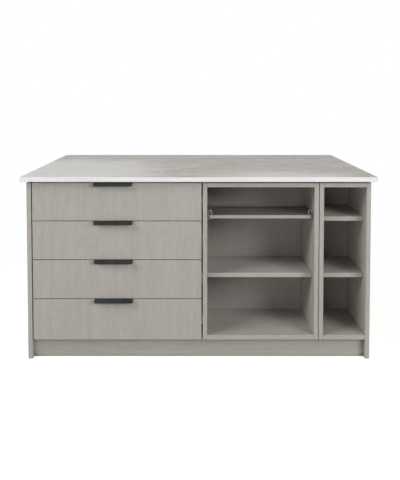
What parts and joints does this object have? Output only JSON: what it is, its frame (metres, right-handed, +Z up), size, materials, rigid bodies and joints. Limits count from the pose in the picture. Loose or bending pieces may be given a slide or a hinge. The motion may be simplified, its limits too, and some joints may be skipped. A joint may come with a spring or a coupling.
{
  "type": "closet island with drawers",
  "caption": "Free-standing dressing-room island: stone worktop, drawers with black edge pulls on one side, open shelf bays with a pull-out shelf on the other.",
  "frame": {"origin": "on the floor, below the middle of the worktop", "axes": "+X to the right seen from the drawer side, -Y the way the drawers open, +Z up"},
  "size_m": [1.76, 1, 0.92],
  "materials": {
    "veneer": "matte",
    "drawer_board": "satin",
    "dark_board": "matte",
    "stone": "polished",
    "black_metal": "matte",
    "runner_steel": "satin",
    "bright_metal": "gloss",
    "foot_plastic": "matte"
  },
  "bodies": {
    "carcass": {"worktop": "stone", "worktop_packers": "dark_board", "left_end_panel": "veneer", "right_end_panel": "veneer", "front_plinth": "veneer", "rear_plinth": "veneer", "levelling_feet": "foot_plastic", "drawer_bay_bottom": "veneer", "drawer_bay_back": "veneer", "drawer_bay_top_rails": "veneer", "wide_bay_left_side": "veneer", "wide_bay_right_side": "veneer", "wide_bay_bottom": "veneer", "wide_bay_top": "veneer", "wide_bay_back": "veneer", "wide_bay_shelf": "veneer", "narrow_bay_left_side": "veneer", "narrow_bay_bottom": "veneer", "narrow_bay_top": "veneer", "narrow_bay_back": "veneer", "narrow_bay_upper_shelf": "veneer", "narrow_bay_lower_shelf": "veneer", "shelf_pins": "runner_steel", "rear_panel_behind_drawers": "veneer", "rear_panel_behind_shelves": "veneer", "drawer_runner_cabinet_members": "runner_steel", "pull_out_shelf_runner_cabinet_members": "runner_steel"},
    "top_drawer": {"top_drawer_front": "veneer", "top_drawer_sides": "drawer_board", "top_drawer_box_ends": "drawer_board", "top_drawer_bottom": "drawer_board", "top_drawer_pull": "black_metal", "top_drawer_runner_inner_members": "runner_steel"},
    "top_drawer_runner_middles": {"top_drawer_runner_middle_members": "runner_steel"},
    "second_drawer": {"second_drawer_front": "veneer", "second_drawer_sides": "drawer_board", "second_drawer_box_ends": "drawer_board", "second_drawer_bottom": "drawer_board", "second_drawer_pull": "black_metal", "second_drawer_runner_inner_members": "runner_steel"},
    "second_drawer_runner_middles": {"second_drawer_runner_middle_members": "runner_steel"},
    "third_drawer": {"third_drawer_front": "veneer", "third_drawer_sides": "drawer_board", "third_drawer_box_ends": "drawer_board", "third_drawer_bottom": "drawer_board", "third_drawer_pull": "black_metal", "third_drawer_runner_inner_members": "runner_steel"},
    "third_drawer_runner_middles": {"third_drawer_runner_middle_members": "runner_steel"},
    "bottom_drawer": {"bottom_drawer_front": "veneer", "bottom_drawer_sides": "drawer_board", "bottom_drawer_box_ends": "drawer_board", "bottom_drawer_bottom": "drawer_board", "bottom_drawer_pull": "black_metal", "bottom_drawer_runner_inner_members": "runner_steel"},
    "bottom_drawer_runner_middles": {"bottom_drawer_runner_middle_members": "runner_steel"},
    "pull_out_shelf": {"pull_out_shelf_board": "veneer", "pull_out_shelf_gallery": "bright_metal", "pull_out_shelf_runner_inner_members": "runner_steel"}
  },
  "joints": [
    {"name": "top_drawer_slide", "type": "slide", "parent": "carcass", "child": "top_drawer", "axis": [0, -1, 0], "range_m": [0, 0.43]},
    {"name": "top_drawer_runner_middle_slide", "type": "slide", "parent": "carcass", "child": "top_drawer_runner_middles", "axis": [0, -1, 0], "range_m": [0, 0.215]},
    {"name": "second_drawer_slide", "type": "slide", "parent": "carcass", "child": "second_drawer", "axis": [0, -1, 0], "range_m": [0, 0.43]},
    {"name": "second_drawer_runner_middle_slide", "type": "slide", "parent": "carcass", "child": "second_drawer_runner_middles", "axis": [0, -1, 0], "range_m": [0, 0.215]},
    {"name": "third_drawer_slide", "type": "slide", "parent": "carcass", "child": "third_drawer", "axis": [0, -1, 0], "range_m": [0, 0.43]},
    {"name": "third_drawer_runner_middle_slide", "type": "slide", "parent": "carcass", "child": "third_drawer_runner_middles", "axis": [0, -1, 0], "range_m": [0, 0.215]},
    {"name": "bottom_drawer_slide", "type": "slide", "parent": "carcass", "child": "bottom_drawer", "axis": [0, -1, 0], "range_m": [0, 0.43]},
    {"name": "bottom_drawer_runner_middle_slide", "type": "slide", "parent": "carcass", "child": "bottom_drawer_runner_middles", "axis": [0, -1, 0], "range_m": [0, 0.215]},
    {"name": "pull_out_shelf_slide", "type": "slide", "parent": "carcass", "child": "pull_out_shelf", "axis": [0, -1, 0], "range_m": [0, 0.175]}
  ],
  "couplings": [
    {"joint": "top_drawer_runner_middle_slide", "follows": "top_drawer_slide", "ratio": 0.5},
    {"joint": "second_drawer_runner_middle_slide", "follows": "second_drawer_slide", "ratio": 0.5},
    {"joint": "third_drawer_runner_middle_slide", "follows": "third_drawer_slide", "ratio": 0.5},
    {"joint": "bottom_drawer_runner_middle_slide", "follows": "bottom_drawer_slide", "ratio": 0.5}
  ]
}
